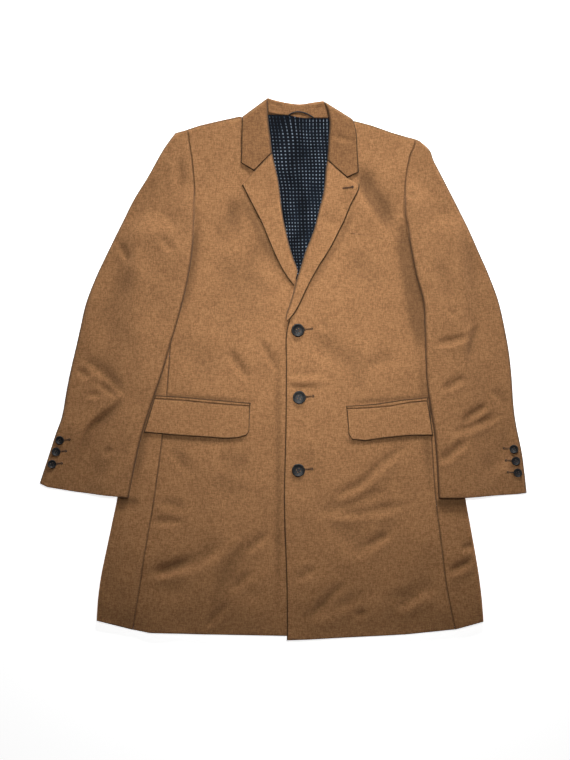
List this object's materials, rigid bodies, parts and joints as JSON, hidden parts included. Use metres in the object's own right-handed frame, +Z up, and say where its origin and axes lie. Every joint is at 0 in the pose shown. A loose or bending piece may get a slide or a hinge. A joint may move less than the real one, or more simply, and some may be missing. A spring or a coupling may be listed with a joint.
{
  "type": "wool overcoat",
  "caption": "Single-breasted wool overcoat with notch lapels and flap pockets, buttoned and laid flat on its back",
  "frame": {"origin": "on the surface under the middle of the coat's outline, sleeves included", "axes": "+X to the wearer's left, +Y from the hem to the collar, +Z up from the surface, out of the coat's front"},
  "size_m": [0.8296, 0.9235, 0.0221],
  "materials": {
    "wool": "camel brown melton wool with a short soft nap and a fine heather",
    "lining": "dark navy lining with small pale square dots and a slight sheen",
    "loop": "thin black cord",
    "button": "near-black four-hole horn-like button with a dished face"
  },
  "bodies": {
    "root": {"back": "wool", "collar": "wool", "front_right": "wool", "side_right": "wool", "sleeve_top_right": "wool", "sleeve_under_right": "wool", "lapel_right": "wool", "flap_right": "wool", "jet_right": "wool", "front_left": "wool", "side_left": "wool", "sleeve_top_left": "wool", "sleeve_under_left": "wool", "lapel_left": "wool", "flap_left": "wool", "jet_left": "wool", "lining_back": "lining", "hanger_loop": "loop", "button_front_1": "button", "button_front_2": "button", "button_front_3": "button", "button_cuff_right_1": "button", "button_cuff_right_2": "button", "button_cuff_right_3": "button", "button_cuff_left_1": "button", "button_cuff_left_2": "button", "button_cuff_left_3": "button"}
  },
  "joints": []
}
